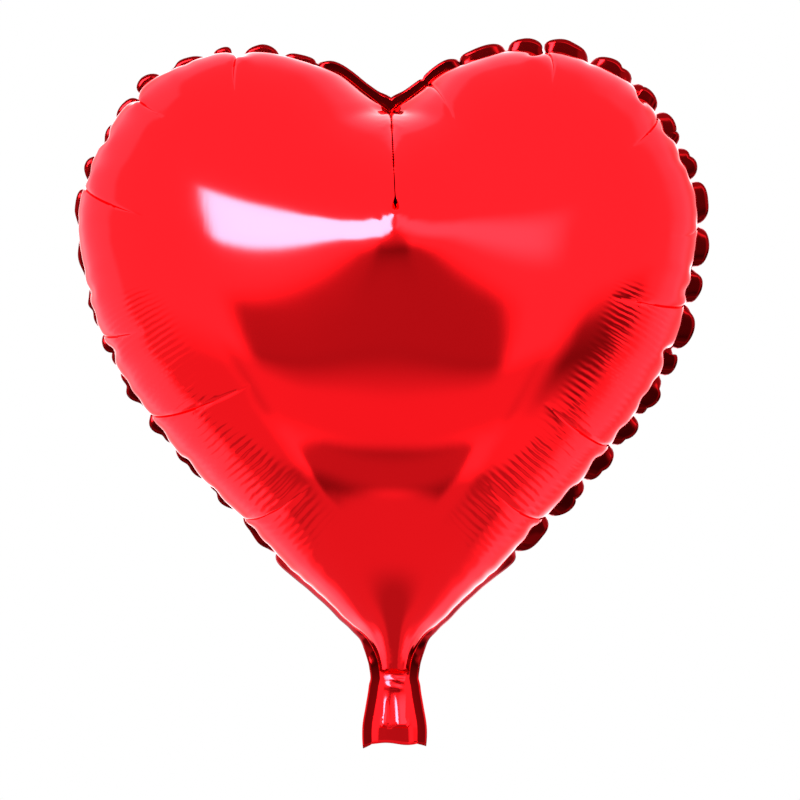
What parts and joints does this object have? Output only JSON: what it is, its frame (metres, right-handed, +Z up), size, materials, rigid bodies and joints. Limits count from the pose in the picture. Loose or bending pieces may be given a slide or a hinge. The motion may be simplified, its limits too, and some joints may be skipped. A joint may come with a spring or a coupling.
{
  "type": "heart-shaped foil balloon",
  "caption": "Inflated heart-shaped foil balloon with a flat sealed rim, a tied neck, a filling tail that folds at the neck and a flat self-closing film valve.",
  "frame": {"origin": "the tying point, in the middle of the neck between the two panels", "axes": "+Z up through the notch of the heart, front panel facing -Y, +X to the right of somebody who looks at the front"},
  "size_m": [0.3902, 0.2172, 0.4289],
  "materials": {
    "red_foil": "mirror-bright metallised plastic film, tinted red",
    "valve_film": "thin translucent polyethylene film"
  },
  "bodies": {
    "balloon": {"front_panel": "red_foil", "back_panel": "red_foil"},
    "tail": {"tail_front": "red_foil", "tail_back": "red_foil", "valve_sleeve_front": "valve_film", "valve_sleeve_back": "valve_film"},
    "valve_front": {"valve_leaf_front": "valve_film"},
    "valve_back": {"valve_leaf_back": "valve_film"}
  },
  "joints": [
    {"name": "tail_fold", "type": "hinge", "parent": "balloon", "child": "tail", "pos_m": [0, 0, 0], "axis": [1, 0, 0], "range_deg": [-60, 60]},
    {"name": "valve_open_front", "type": "hinge", "parent": "balloon", "child": "valve_front", "pos_m": [0, -0.00025, 0.0014], "axis": [1, 0, 0], "range_deg": [0, 6], "stiffness_Nm_per_rad": 0.0005, "springref_deg": -11.46},
    {"name": "valve_open_back", "type": "hinge", "parent": "balloon", "child": "valve_back", "pos_m": [0, 0.00025, 0.0014], "axis": [1, 0, 0], "range_deg": [-6, 0], "stiffness_Nm_per_rad": 0.0005, "springref_deg": 11.46}
  ],
  "couplings": [
    {"joint": "valve_open_back", "follows": "valve_open_front", "ratio": -1}
  ]
}
